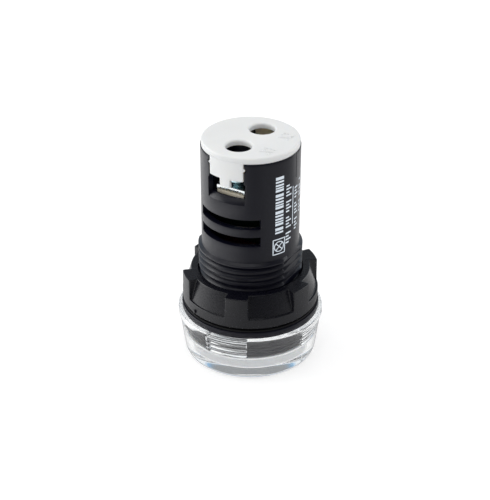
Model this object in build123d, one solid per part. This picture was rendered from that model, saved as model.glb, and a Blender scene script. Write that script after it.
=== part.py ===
from build123d import *
from math import cos, radians, sin
import os

# Panel pilot light for a 22 mm class panel hole, standing on its lens.
# Millimetres. The origin is the centre of the lens face, +Z runs towards the terminals.
# Terminal X1 and its wire window face -Y, terminal X2 and its window face +Y.

# Lens
lens_depth = 10.2
lens_rim_dia = 30.0
lens_rim_band = 1.2
lens_waist_dia = 29.24
lens_waist_level = 7.6
lens_face_dia = 27.2
lens_face_thickness = 2.5
lens_edge_radius = 1.3
lens_bore_dia = 26.2
lens_rib_height = 0.8
lens_rib_pitch = 1.2
lens_rib_width = 0.9
lens_rib_count = 4
lens_rib_arc = 38.0
lens_rib_sets = 4
lens_rib_turn = 9.0
lens_rim_radius = 0.3

# Housing: flange, collar under the lens, threaded barrel
flange_dia = 28.4
flange_thickness = 1.3
collar_dia = 23.6
collar_wall = 1.2
collar_length = 5.4
collar_ridge_height = 0.35
collar_ridge_count = 3
barrel_dia = 19.8
barrel_wall = 1.3
barrel_length = 35.35
thread_dia = 21.2
thread_pitch = 1.5
thread_length = 11.2
thread_lead_in = 0.4
thread_root_width = 1.08
thread_crest_width = 0.21
shoulder_length = 2.5
shoulder_step = 0.025
thread_flat_step = 0.05
vent_height = 2.05
vent_pitch = 3.85
vent_half_angle = 42.5
vent_top_depth = 12.0
vent_count = 2

# Terminal block at the end of the barrel
floor_thickness = 1.5
floor_depth = 8.3
partition_thickness = 1.2
pocket_wall = 1.16
window_half_width = 4.0
window_height = 3.2
window_reveal = 3.0
sill_height = 0.55
bevel_depth = 1.0
screw_offset = 4.5

# Terminal cover
cover_step = 0.15
cover_thickness = 1.25
cover_edge_radius = 0.4
driver_hole_dia = 5.1
driver_hole_edge = 0.5
tongue_half_width = 3.74
tongue_length = 3.75
tongue_thickness = 0.9
tongue_lug_half_width = 1.1
tongue_lug_length = 1.7
nub_height = 0.4
nub_width = 1.0
nub_depth = 1.25
mark_height = 0.12
mark_size = 2.2
mark_stroke = 0.32
mark_offset = 5.9
mark_spread = 3.6

# Terminals
screw_dia = 3.0
screw_head_dia = 5.6
screw_head_height = 2.0
screw_length = 6.0
screw_head_radius = 0.5
screw_slot_length = 3.6
screw_slot_width = 0.7
screw_slot_depth = 1.1
screw_tip_chamfer = 0.3
strip_width = 6.0
strip_length = 7.0
strip_thickness = 0.75
strip_tail_width = 3.0
strip_tail_length = 5.4
clamp_width = 6.4
clamp_length = 6.2
clamp_thickness = 1.0
clamp_corner = 0.5
clamp_groove_depth = 0.3
clamp_groove_count = 6
screw_backed_off = 0.9

# Electronics
led_board_thickness = 1.0
led_count = 6
led_edge_gap = 2.25
led_length = 3.5
led_width = 2.8
led_height = 0.8
led_window_dia = 2.1
led_window_depth = 0.2
driver_board_width = 16.6
driver_board_thickness = 1.2
pin_size = 0.64
pin_spacing = 5.08
pin_length = 5.5
pin_hole_dia = 1.0
film_capacitor_width = 10.0
film_capacitor_depth = 5.0
film_capacitor_height = 9.0
film_capacitor_corner = 0.4
can_dia = 6.3
can_length = 9.0
can_groove_depth = 0.25
can_groove_width = 0.5
can_groove_offset = 1.1
rectifier_width = 4.7
rectifier_depth = 1.6
rectifier_height = 3.9
rectifier_corner = 0.2
resistor_dia = 2.4
resistor_length = 6.5
resistor_lead_dia = 0.6
resistor_lead_reach = 1.0
component_gap = 1.6

# Diffuser, gasket, nut
diffuser_dia = 24.6
diffuser_thickness = 0.9
diffuser_rim_width = 1.2
gasket_dia = 27.8
gasket_thickness = 0.45
nut_dia = 28.0
nut_height = 6.7
nut_ring_height = 2.2
nut_neck_dia = 24.4
nut_lug_count = 6
nut_lug_arc = 20.0
nut_lug_turn = 19.0
nut_rest_gap = 0.45
nut_ledge = 0.45
nut_edge = 0.15

# Clearances
lens_gap = 0.1
seat_gap = 0.05
slide_gap = 0.1
thread_gap = 0.15
screw_gap = 0.08
shank_gap = 0.4
weld = 0.1

# X1 and its window face this way, in degrees from +X towards +Y
front_turn = -90

# Levels worked out from the sizes above
flange_front = lens_depth + lens_gap
flange_back = flange_front + flange_thickness
barrel_top = flange_back + barrel_length
cover_top = barrel_top + cover_thickness
collar_end = flange_front - collar_length
floor_top = barrel_top - floor_depth
floor_under = floor_top - floor_thickness
sill = floor_top + sill_height
thread_top = flange_back + shoulder_length + thread_length
barrel_radius = barrel_dia / 2
bore_radius = barrel_radius - barrel_wall
tongue_radius = barrel_radius - slide_gap / 2
collar_bore_radius = collar_dia / 2 - collar_wall
led_seat = flange_front - barrel_wall
led_board_front = led_seat - seat_gap - led_board_thickness
led_board_radius = collar_bore_radius - slide_gap
pocket_half_width = tongue_half_width + slide_gap
strip_top = floor_top + seat_gap + strip_thickness
clamp_top = strip_top + seat_gap + clamp_thickness
head_level = clamp_top + screw_backed_off
nut_front = flange_back + gasket_thickness + nut_rest_gap
board_face = driver_board_thickness / 2 + seat_gap
driver_board_foot = led_seat + seat_gap
driver_board_top = floor_under - seat_gap
led_circle_radius = led_board_radius - led_edge_gap - led_length / 2
resistor_1_level = driver_board_foot + 2 * component_gap + resistor_dia / 2
film_capacitor_level = resistor_1_level + resistor_dia / 2 + component_gap
can_level = driver_board_foot + 2 * component_gap
rectifier_level = can_level + can_length + component_gap
resistor_2_level = rectifier_level + rectifier_height + component_gap + resistor_dia / 2


def disc(radius, low, high):
    return Pos(0, 0, (low + high) / 2) * Cylinder(radius, high - low)


def ring(outer, inner, low, high):
    return disc(outer, low, high) - disc(inner, low - 1, high + 1)


def block(x, y, z):
    size = (x[1] - x[0], y[1] - y[0], z[1] - z[0])
    middle = ((x[0] + x[1]) / 2, (y[0] + y[1]) / 2, (z[0] + z[1]) / 2)
    return Pos(*middle) * Box(*size)


def turned(points, arc=360, start=0):
    # Solid of revolution about Z from radius and level pairs
    profile = make_face(Plane.XZ * Polyline(*points, close=True))
    return Rot(0, 0, start) * revolve(profile, Axis.Z, arc)


def circles_at(shape, level, radius=None):
    # Circular edges of a shape at one level, all of them or those of one radius
    found = shape.edges().filter_by(GeomType.CIRCLE)
    found = found.filter_by(lambda e: abs(e.arc_center.Z - level) < 1e-4)
    found = found.filter_by(lambda e: abs(e.bounding_box().size.Z) < 1e-3)
    if radius is None:
        return found
    return found.filter_by(lambda e: abs(e.radius - radius) < 1e-4)


def both_sides(shape):
    return (shape, Rot(0, 0, 180) * shape)


def thread_ridge():
    # Helical ridge of the panel thread, cut back to the two flats at -X and +X
    root = barrel_radius - weld
    crest = thread_dia / 2
    half = thread_root_width / 2
    flat = thread_crest_width / 2
    start = flange_back + shoulder_length - thread_pitch / 2
    path = Helix(thread_pitch, thread_length, root)
    section = Polyline((root, -half), (crest, -flat), (crest, flat), (root, half), close=True)
    ridge = sweep(make_face(Plane.XZ * section), path, is_frenet=True)
    return Pos(0, 0, start) * ridge


def thread_flats():
    low = flange_back + shoulder_length
    reach = thread_dia
    near = barrel_radius + thread_flat_step
    right = block((near, reach), (-reach, reach), (low, thread_top + thread_pitch))
    return right + Rot(0, 0, 180) * right


def barrel_shell():
    # The shoulder and the lead-in ring stand a hair above the crest of the helical ridge
    full = thread_dia / 2 + shoulder_step
    lead = [
        (bore_radius, thread_top - thread_pitch / 2),
        (full, thread_top - thread_pitch / 2),
        (full, thread_top - thread_lead_in),
        (barrel_radius, thread_top),
        (bore_radius, thread_top),
    ]
    shell = disc(barrel_radius, flange_front, barrel_top)
    shell += thread_ridge()
    shell += turned(lead)
    shell += disc(full, flange_back, flange_back + shoulder_length)
    return shell - thread_flats()


def collar():
    radius = collar_dia / 2
    body = disc(radius, collar_end, flange_front)
    for index in range(collar_ridge_count):
        level = collar_end + lens_rib_pitch * (index + 1)
        half = lens_rib_pitch / 4
        tip = radius + collar_ridge_height
        body += turned([(radius - weld, level - half), (tip, level), (radius - weld, level + half)])
    return body


def terminal_pocket():
    # Room for one terminal, its wire window and the slot that the cover's tongue fills
    out = -barrel_dia
    near = -partition_thickness / 2
    inside = disc(bore_radius, floor_top, barrel_top + 1)
    room = block((-pocket_half_width, pocket_half_width), (out, near), (floor_top, barrel_top + 1)) & inside
    room += block((-pocket_half_width, pocket_half_width), (out, near), (sill, barrel_top + 1))
    wide = (-window_half_width, window_half_width)
    room += block(wide, (out, window_reveal - barrel_radius), (sill, sill + window_height))
    room += window_bevel()
    room += block(
        (-strip_tail_width / 2 - slide_gap, strip_tail_width / 2 + slide_gap),
        (near - strip_thickness - 2 * slide_gap, near),
        (floor_under - 1, floor_top + 1),
    )
    room += Pos(0, -screw_offset, 0) * disc(screw_dia / 2 + shank_gap, floor_under - 1, floor_top + 1)
    for side in (-1, 1):
        room += nub(side, slide_gap)
    return room


def window_bevel():
    # Sloping frame round the window: the slope is the same on the sill and on both jambs
    deep = barrel_radius - bevel_depth
    far = barrel_radius + bevel_depth
    jamb = []
    for radius, half in ((deep, window_half_width), (far, window_half_width + 2 * bevel_depth)):
        jamb.append((half, -(radius**2 - half**2) ** 0.5))
    outline = [(-x, y) for x, y in jamb] + [(-jamb[1][0], -far), (jamb[1][0], -far)] + jamb[::-1]
    prism = extrude(make_face(Polyline(*outline, close=True)), barrel_top)
    top = sill + window_height
    slope = turned([(deep, sill), (far, sill - 2 * bevel_depth), (far, top), (deep, top)])
    return prism & slope


def nub(side, gap=0.0):
    # Snap nub on one edge of a tongue, or with a gap the notch that it clicks into
    edge = side * (tongue_half_width - weld)
    tip = side * (tongue_half_width + nub_height + gap)
    level = barrel_top - nub_depth
    half = nub_width / 2 + gap
    outline = Polyline((edge, level - half), (tip, level), (edge, level + half), close=True)
    prism = extrude(make_face(Plane.XZ * outline), barrel_dia)
    inner = tongue_radius - tongue_thickness - gap
    if gap:
        return prism - disc(inner, 0, cover_top)
    return prism & ring(tongue_radius, inner, 0, cover_top)


def side_cores():
    # Hollows beside the terminal pockets that keep the moulding's walls even
    half = pocket_half_width + pocket_wall
    middle = block((-half, half), (-barrel_dia, barrel_dia), (floor_top - 1, barrel_top + 2))
    return disc(bore_radius, floor_top, barrel_top + 1) - middle


def vent_slots():
    slots = []
    for index in range(vent_count):
        high = barrel_top - vent_top_depth - index * vent_pitch
        low = high - vent_height
        inner = bore_radius - barrel_wall
        outer = barrel_radius + 1
        outline = [(inner, low), (outer, low), (outer, high), (inner, high)]
        slots.append(turned(outline, 2 * vent_half_angle, front_turn - vent_half_angle))
    return slots


def make_housing():
    body = barrel_shell() + collar()
    body += disc(flange_dia / 2, flange_front, flange_back)
    body -= disc(bore_radius, led_seat - 1, floor_under)
    body -= disc(collar_bore_radius, collar_end - 1, led_seat)
    body -= side_cores()
    for pocket in both_sides(terminal_pocket()):
        body -= pocket
    for slot in vent_slots():
        for cut in both_sides(slot):
            body -= cut
    return body


def make_lens():
    rim = lens_rim_dia / 2
    outline = [
        (0, 0),
        (lens_face_dia / 2, 0),
        (lens_waist_dia / 2, lens_waist_level),
        (rim, lens_depth - lens_rim_band),
        (rim, lens_depth),
        (lens_bore_dia / 2, lens_depth),
        (lens_bore_dia / 2, collar_end),
        (diffuser_dia / 2 + slide_gap, collar_end - slide_gap),
        (diffuser_dia / 2 + slide_gap, lens_face_thickness),
        (0, lens_face_thickness),
    ]
    body = turned(outline)
    body = fillet(circles_at(body, 0), lens_edge_radius)
    body = fillet(circles_at(body, lens_depth, rim), lens_rim_radius)
    step = 360 / lens_rib_sets
    for index in range(lens_rib_sets):
        start = front_turn + lens_rib_turn + index * step - lens_rib_arc / 2
        for rib in range(lens_rib_count):
            body += lens_rib(start, collar_end + lens_rib_pitch * (rib + 0.75))
    return body


def lens_rib(start, level):
    wall = lens_bore_dia / 2
    half = lens_rib_width / 2
    tip = wall - lens_rib_height
    outline = [
        (wall + weld, level - half),
        (wall + weld, level + half),
        (tip, level + half / 4),
        (tip, level - half / 4),
    ]
    return turned(outline, lens_rib_arc, start)


def make_diffuser():
    radius = diffuser_dia / 2
    low = lens_face_thickness + seat_gap
    high = collar_end - seat_gap
    body = disc(radius, low, high)
    return body - disc(radius - diffuser_rim_width, low + diffuser_thickness, high + 1)


def pin_places():
    y = board_face + pin_size / 2
    return [(-pin_spacing / 2, y), (pin_spacing / 2, y)]


def make_led_board():
    board = disc(led_board_radius, led_board_front, led_seat - seat_gap)
    for x, y in pin_places():
        board -= Pos(x, y, 0) * disc(pin_hole_dia / 2, 0, led_seat + 1)
    return board


def make_led(index):
    body = Box(led_length, led_width, led_height, align=(Align.CENTER, Align.CENTER, Align.MAX))
    window = Pos(0, 0, -led_height) * Cylinder(led_window_dia / 2, led_window_depth)
    turn = index * 360 / led_count
    angle = radians(turn)
    x = led_circle_radius * cos(angle)
    y = led_circle_radius * sin(angle)
    place = Pos(x, y, led_board_front - seat_gap)
    return place * Rot(0, 0, turn) * (body - window)


def make_driver_board():
    half = driver_board_width / 2
    thick = driver_board_thickness / 2
    return block((-half, half), (-thick, thick), (driver_board_foot, driver_board_top))


def make_pins():
    half = pin_size / 2
    low = led_board_front - half
    pins = []
    for x, y in pin_places():
        pins.append(block((x - half, x + half), (y - half, y + half), (low, low + pin_length)))
    return pins


def make_film_capacitor():
    half = film_capacitor_width / 2
    low = film_capacitor_level
    high = low + film_capacitor_height
    body = block((-half, half), (-board_face - film_capacitor_depth, -board_face), (low, high))
    return fillet(body.edges(), film_capacitor_corner)


def make_can():
    radius = can_dia / 2
    body = disc(radius, can_level, can_level + can_length)
    groove = can_level + can_groove_offset
    body -= ring(radius + 1, radius - can_groove_depth, groove, groove + can_groove_width)
    return Pos(0, board_face + radius, 0) * body


def make_rectifier():
    half = rectifier_width / 2
    low = rectifier_level
    high = low + rectifier_height
    body = block((-half, half), (board_face, board_face + rectifier_depth), (low, high))
    return chamfer(body.edges().filter_by(Axis.Z), rectifier_corner)


def make_resistor(side, level):
    # Axial resistor standing off the board on its two bent leads
    radius = resistor_dia / 2
    lead = resistor_lead_dia / 2
    reach = resistor_length / 2 + resistor_lead_reach
    y = side * (board_face + radius)
    body = Pos(0, y, level) * Rot(0, 90, 0) * Cylinder(radius, resistor_length)
    body += Pos(0, y, level) * Rot(0, 90, 0) * Cylinder(lead, 2 * reach)
    foot = sorted((side * board_face, y + side * lead))
    for x in (-reach, reach):
        body += block((x - lead, x + lead), foot, (level - lead, level + lead))
    return body


def make_strip():
    # Brass strip with a tail that drops through the floor to the driver board
    near = -partition_thickness / 2 - seat_gap
    low = floor_top + seat_gap
    strip = block((-strip_width / 2, strip_width / 2), (near - strip_length, near), (low, strip_top))
    tail = (-strip_tail_width / 2, strip_tail_width / 2)
    strip += block(tail, (near - strip_thickness, near), (low - strip_tail_length, strip_top))
    return strip - Pos(0, -screw_offset, 0) * disc(screw_dia / 2 + screw_gap, low - 1, strip_top + 1)


def make_clamp():
    # Plated clamp plate with grooves across its underside to grip the wire
    low = clamp_top - clamp_thickness
    middle = -screw_offset
    span = (middle - clamp_length / 2, middle + clamp_length / 2)
    plate = block((-clamp_width / 2, clamp_width / 2), span, (low, clamp_top))
    plate = fillet(plate.edges().filter_by(Axis.Z), clamp_corner)
    step = clamp_width / (clamp_groove_count + 1)
    deep = clamp_groove_depth
    for index in range(clamp_groove_count):
        x = -clamp_width / 2 + step * (index + 1)
        groove = Polyline((x - deep, low), (x, low + deep), (x + deep, low), close=True)
        plate -= extrude(make_face(Plane.XZ.offset(-span[1] - 1) * groove), clamp_length + 2)
    return plate - Pos(0, middle, 0) * disc(screw_dia / 2 + thread_gap, low - 1, clamp_top + 1)


def make_screw():
    top = head_level + screw_head_height
    body = disc(screw_head_dia / 2, head_level, top)
    body = fillet(circles_at(body, top), screw_head_radius)
    tip = head_level - screw_length
    shank = disc(screw_dia / 2, tip, head_level + weld)
    body += chamfer(circles_at(shank, tip), screw_tip_chamfer)
    half = screw_slot_length / 2
    thin = screw_slot_width / 2
    for x, y in ((half, thin), (thin, half)):
        body -= block((-x, x), (-y, y), (top - screw_slot_depth, top + 1))
    return Pos(0, -screw_offset, 0) * body


def mark_bars(digit):
    # Raised terminal mark X1 or X2: the ends of its bars, in halves of the mark's height
    cross = [((0, 0), (1, 2)), ((0, 2), (1, 0))]
    one = [((1.7, 0), (1.7, 2)), ((1.7, 2), (1.4, 1.6))]
    two = [((1.4, 2), (2.2, 2)), ((2.2, 2), (2.2, 1)), ((2.2, 1), (1.4, 0)), ((1.4, 0), (2.2, 0))]
    return cross + (one if digit == 1 else two)


def terminal_mark(digit):
    scale = mark_size / 2
    solid = None
    for (x0, y0), (x1, y1) in mark_bars(digit):
        bar = Rectangle(((x1 - x0) ** 2 + (y1 - y0) ** 2) ** 0.5 * scale + mark_stroke, mark_stroke)
        angle = Vector(1, 0, 0).get_signed_angle(Vector(x1 - x0, y1 - y0, 0))
        x = (x0 + x1 - mark_size) / 2
        y = (y0 + y1) / 2 - 1
        place = Pos(x * scale, y * scale, cover_top - weld)
        piece = extrude(place * Rot(0, 0, angle) * bar, weld + mark_height)
        solid = piece if solid is None else solid + piece
    return solid


def tongue():
    low = barrel_top - tongue_length
    half = tongue_half_width
    reach = (-barrel_dia, 0)
    skirt = block((-half, half), reach, (low, barrel_top + weld))
    lug = (-tongue_lug_half_width, tongue_lug_half_width)
    skirt += block(lug, reach, (low - tongue_lug_length, low + weld))
    return skirt & ring(tongue_radius, tongue_radius - tongue_thickness, 0, cover_top)


def make_cover():
    plate = disc(barrel_radius - cover_step, barrel_top, cover_top)
    plate = fillet(circles_at(plate, cover_top), cover_edge_radius)
    hole = Pos(0, -screw_offset, 0) * disc(driver_hole_dia / 2, barrel_top - 1, cover_top + 1)
    for cut in both_sides(hole):
        plate -= cut
    plate = fillet(circles_at(plate, cover_top, driver_hole_dia / 2), driver_hole_edge)
    for part in both_sides(tongue() + nub(-1) + nub(1)):
        plate += part
    for digit, y in ((1, -mark_spread), (2, mark_spread)):
        plate += Pos(mark_offset, y, 0) * Rot(0, 0, 90) * terminal_mark(digit)
    return plate


def make_gasket():
    return ring(gasket_dia / 2, thread_dia / 2 + thread_gap, flange_back, flange_back + gasket_thickness)


def make_nut():
    rim = nut_dia / 2
    neck = nut_neck_dia / 2
    bore = thread_dia / 2 + thread_gap
    low = nut_front
    shelf = low + nut_ring_height
    high = low + nut_height
    body = ring(rim, bore, low, high)
    body = chamfer(circles_at(body, low, rim), nut_edge)
    body = chamfer(circles_at(body, high, rim), nut_edge)
    slope = (rim - nut_ledge - neck) / (high - shelf)
    pocket = [(rim - nut_ledge, shelf), (rim + 1, shelf), (rim + 1, high + 1), (neck - slope, high + 1)]
    step = 360 / nut_lug_count
    for index in range(nut_lug_count):
        start = front_turn + nut_lug_turn + index * step + nut_lug_arc / 2
        body -= turned(pocket, step - nut_lug_arc, start)
    return body


def save(name, shape):
    if isinstance(shape, (list, tuple)):
        shape = Compound(children=list(shape))
    export_step(shape, f"parts/{name}.step")


def main():
    os.makedirs("parts", exist_ok=True)
    save("housing", make_housing())
    save("lens", make_lens())
    save("lens_diffuser", make_diffuser())
    save("led_board", make_led_board())
    for index in range(led_count):
        save(f"led_{index + 1}", make_led(index))
    save("driver_board", make_driver_board())
    save("board_pins", make_pins())
    save("dropper_capacitor", make_film_capacitor())
    save("smoothing_capacitor", make_can())
    save("bridge_rectifier", make_rectifier())
    save("resistor_1", make_resistor(-1, resistor_1_level))
    save("resistor_2", make_resistor(1, resistor_2_level))
    pairs = {"terminal_plate": make_strip(), "clamp_plate": make_clamp(), "terminal_screw": make_screw()}
    for name, shape in pairs.items():
        first, second = both_sides(shape)
        save(f"{name}_x1", first)
        save(f"{name}_x2", second)
    save("terminal_cover", make_cover())
    save("gasket", make_gasket())
    save("panel_nut", make_nut())


main()
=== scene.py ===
from math import asin, cos, degrees, hypot, pi, radians, sin, sqrt, tan

import bmesh
import bpy
from mathutils import Matrix, Vector


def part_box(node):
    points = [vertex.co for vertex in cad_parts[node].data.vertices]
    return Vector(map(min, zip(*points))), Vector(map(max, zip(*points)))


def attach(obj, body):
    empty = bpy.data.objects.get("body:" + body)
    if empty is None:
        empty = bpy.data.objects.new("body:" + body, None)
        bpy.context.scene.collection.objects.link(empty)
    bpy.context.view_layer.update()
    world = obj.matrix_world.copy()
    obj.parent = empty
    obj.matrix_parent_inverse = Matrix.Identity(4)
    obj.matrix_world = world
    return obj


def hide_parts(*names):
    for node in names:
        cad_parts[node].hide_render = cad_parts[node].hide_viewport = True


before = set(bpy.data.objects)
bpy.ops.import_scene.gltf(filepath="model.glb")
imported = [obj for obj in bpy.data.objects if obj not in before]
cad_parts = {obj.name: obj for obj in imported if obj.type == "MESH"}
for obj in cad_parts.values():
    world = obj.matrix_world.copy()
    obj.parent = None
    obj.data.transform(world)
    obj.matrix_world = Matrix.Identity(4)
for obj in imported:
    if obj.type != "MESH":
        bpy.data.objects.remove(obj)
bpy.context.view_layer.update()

# Looks of the panel pilot light. Lengths in this script are millimetres, and MM turns them into metres.
# Angles round the light are degrees from terminal X1's side (-Y) towards +X.

MM = 0.001


def span(node):
    low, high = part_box(node)
    return [v / MM for v in low], [v / MM for v in high]


# Levels and radii that the frame gives
lens_depth = span("lens")[1][2]
lens_rim_radius = span("lens")[1][0]
collar_end = span("housing")[0][2]
barrel_top = span("housing")[1][2]
flange_radius = span("housing")[1][0]
flange_back = span("gasket")[0][2]
gasket_back = span("gasket")[1][2]
gasket_radius = span("gasket")[1][0]
nut_front = span("panel_nut")[0][2]
nut_back = span("panel_nut")[1][2]
nut_radius = span("panel_nut")[1][0]
tongue_end = span("terminal_cover")[0][2]
diffuser_low = span("lens_diffuser")[0][2]
diffuser_high = span("lens_diffuser")[1][2]
diffuser_radius = span("lens_diffuser")[1][0]
clamp_low, clamp_high = span("clamp_plate_x1")
screw_low, screw_high = span("terminal_screw_x1")
screw_place = (0.0, (screw_low[1] + screw_high[1]) / 2)

# Lens
lens_face_radius = 13.6
lens_edge_radius = 1.3
lens_waist_radius = 14.62
lens_waist_level = 7.6
lens_rim_low = 9.0
lens_rim_round = 0.3
lens_face_thickness = 2.5
lens_bore = 13.1
lens_floor_radius = 12.4
dish_floor = 0.9
dish_rim = 1.2
rib_tip = 12.3
rib_pitch = 1.2
rib_foot = 0.45
rib_top = 0.11
rib_start = 0.75
rib_count = 4
rib_sets = 4
rib_arc = 38.0
rib_turn = 9.0
rib_steps = 84
rib_gap_steps = 90

# Housing
flange_front = lens_depth + 0.1
collar_radius = 11.8
collar_bore = 10.6
collar_ridge = 0.35
collar_ridges = 3
led_seat = 9.0
barrel_radius = 9.9
barrel_bore = 8.6
shoulder_radius = 10.625
shoulder_top = flange_back + 2.5
thread_crest = 10.6
thread_pitch = 1.5
thread_widths = (1.08, 0.21)
thread_top = shoulder_top + 11.2
thread_flat = 9.95
lead_ring_low = thread_top - 0.75
lead_ring_edge = thread_top - 0.4
vent_half_angle = 42.5
vents = ((29.05, 31.1), (32.9, 34.95))
window_half = 3.9
frame_half = 5.0
bevel = 1.0
sill = 39.2
window_top = 42.4
floor_low = 37.15
floor_top = 38.65
floor_grip = 0.3
partition = 0.6
partition_half = 8.9
web_inner = 3.84
web_outer = 5.0
web_end_radius = 9.0
screw_offset = 4.5
screw_hole_radius = 1.9
strip_slot_half = 1.6
strip_slot_far = 1.5
overlap = 0.1
groove_angle = -85.7
groove_half = 0.6
groove_depth = 0.25
groove_low = 41.6
groove_side = 1.2
notch_level = 45.7
notch_reach = 0.4
notch_half = 0.65
wall_edge = 0.09
wall_column = 1.6
wall_row = 1.5
lintel_row = 0.2

# Terminal cover
cover_plate_radius = 9.75
cover_top = barrel_top + 1.25
cover_round = 0.4
hole_radius = 2.55
hole_round = 0.5
tongue_half = 3.74
tongue_low = barrel_top - 3.75
tongue_outer = 9.85
tongue_inner = 8.95
tongue_edge = 0.12
tongue_column = 0.33
tongue_row = 1.2
tongue_root = 0.3
barb_half = 0.5
barb_inner = 8.15
barb_outer = 9.03
tip_half = 1.1
mark_place = (5.9, 3.6)
mark_lift = 0.09
mark_stroke = 0.32
mark_half = 1.1

# Nut
nut_shelf = nut_front + 2.2
nut_ledge = 0.45
nut_neck = 12.2
nut_bore = 10.75
nut_edge = 0.16
nut_flat_steps = 14
nut_pocket_steps = 30
gate_turn = -22.6
gate_radius = 0.4
gate_height = 0.3
lug_count = 6
lug_arc = 20.0
lug_foot = 0.4
lug_rises = (0.5, 1.5)
lug_turn = 19.0

# Terminals
clamp_grooves = 6
clamp_groove_depth = 0.4
screw_thread_widths = (0.42, 0.06)
screw_tip = 0.3
screw_head_low = screw_high[2] - 2.0
screw_radius = 1.5
screw_root = 1.22
screw_pitch = 0.5
slot_half_length = 1.8
slot_half_width = 0.35
slot_depth = 1.1

# Printed marks: angles and levels on the barrel
ink_above = 0.012
ink_below = 0.03
bar_ends = (60, 65.5, 71)
bar_low = 31.4
bar_pitch = 1.85
bar_groups = (((0, 0.4), (0.78, 0.62)), ((0, 0.52), (0.57, 0.3), (1.14, 0.4)))
bar_count = 7
sign_frame = ((57.5, 26.6), (73.5, 26.6), (73.5, 29.9), (57.5, 29.9))
sign_centre = (65.5, 28.25)
sign_radius = 1.1
sign_stroke = 0.2
rule_width = 0.22
rule_angle = 87.3
rule_low = 31.9
rule_step = 0.83
dash_columns = ((79.5, 28.4, 41.9, 4.4), (94.5, 30.5, 41.0, 3.6), (107, 33.5, 41.5, 3.6))
dash_pitch = 0.7
dash_width = 0.32
short_dash = 0.6

# How finely round forms are divided
turn_steps = 288
bore_steps = 144
small_steps = 64
screw_steps = 48

# An edge is sharp from this angle in degrees. Points closer than the merging distance become one, and levels
# or angles that differ by less than the tolerance are the same.
sharp_angle = 35
merging = 1e-4
tolerance = 0.01
fine_edge = 0.05


def around(radius, angle, z):
    a = radians(angle)
    return Vector((radius * sin(a), -radius * cos(a), z))


def soften(corners, steps=4):
    # Outline whose corners (x, y, radius) are turned into arcs of their radius
    outline = []
    for index, (x, y, radius) in enumerate(corners):
        here = Vector((x, y))
        back = (Vector(corners[index - 1][:2]) - here).normalized()
        ahead = (Vector(corners[(index + 1) % len(corners)][:2]) - here).normalized()
        half = back.angle(ahead) / 2
        if radius == 0:
            outline.append(here)
            continue
        if half > radians(89.9):
            outline.extend([here] * (steps + 1))
            continue
        centre = here + (back + ahead).normalized() * radius / sin(half)
        start = here + back * radius / tan(half) - centre
        sweep = start.angle_signed(here + ahead * radius / tan(half) - centre)
        for step in range(steps + 1):
            outline.append(centre + Matrix.Rotation(-sweep * step / steps, 2) @ start)
    return outline


def ring_mesh(rings, loop=True, capped=False):
    # Quads between neighbouring closed rings of points. Capped rings are open, and flat faces close them
    bm = bmesh.new()
    rows = [[bm.verts.new(point) for point in ring] for ring in rings]
    for index in range(len(rows) if loop else len(rows) - 1):
        first, second = rows[index], rows[(index + 1) % len(rows)]
        for j in range(len(first) - 1 if capped else len(first)):
            k = (j + 1) % len(first)
            bm.faces.new((first[j], first[k], second[k], second[j]))
    if capped:
        bmesh.ops.holes_fill(bm, edges=[e for e in bm.edges if e.is_boundary], sides=0)
    bmesh.ops.remove_doubles(bm, verts=bm.verts, dist=merging)
    return bm


def turned(corners, steps=turn_steps):
    # Solid of revolution about Z of an outline of (radius, level, edge radius) corners
    outline = soften(corners)
    return ring_mesh([[around(p.x, 360 * step / steps, p.y) for p in outline] for step in range(steps)])


def circle(radius, centre=(0, 0), hole=False, steps=small_steps):
    # Round outline of points, each with the normal that leads out of the material
    loop = []
    for step in range(steps):
        a = 2 * pi * step / steps
        out = Vector((cos(a), sin(a)))
        loop.append((Vector(centre) + out * radius, -out if hole else out))
    return loop


def polygon(points, hole=False):
    # Outline of straight runs, given anticlockwise, with mitred normals
    loop = []
    for index, here in enumerate(points):
        back = (Vector(here) - Vector(points[index - 1])).normalized()
        ahead = (Vector(points[(index + 1) % len(points)]) - Vector(here)).normalized()
        first, second = Vector((back.y, -back.x)), Vector((ahead.y, -ahead.x))
        mitre = (first + second) / (1 + first.dot(second))
        loop.append((Vector(here), -mitre if hole else mitre))
    return loop


def slab(loops, low, high, steps=4):
    # Flat plate. Each loop is (outline, radius of its lower edge, radius of its upper edge)
    bm = bmesh.new()
    ends = ([], [])
    for outline, under, over in loops:
        stack = []
        for step in range(steps + 1):
            a = pi / 2 * (1 - step / steps)
            stack.append((under * (1 - cos(a)), low + under * (1 - sin(a))))
        for step in range(steps + 1):
            a = pi / 2 * step / steps
            stack.append((over * (1 - cos(a)), high - over * (1 - sin(a))))
        rows = []
        for inset, z in stack:
            if rows and (under == 0 or over == 0) and abs(z - rows[-1][0].co.z) < 1e-9:
                continue
            rows.append([bm.verts.new((*(p - n * inset), z)) for p, n in outline])
        for first, second in zip(rows, rows[1:]):
            for j, corner in enumerate(first):
                k = (j + 1) % len(first)
                bm.faces.new((corner, first[k], second[k], second[j]))
        for end, row in zip(ends, (rows[0], rows[-1])):
            end.extend(bm.edges.get((v, row[(j + 1) % len(row)])) for j, v in enumerate(row))
    for end in ends:
        bmesh.ops.triangle_fill(bm, use_beauty=True, edges=end)
    return bm


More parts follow.
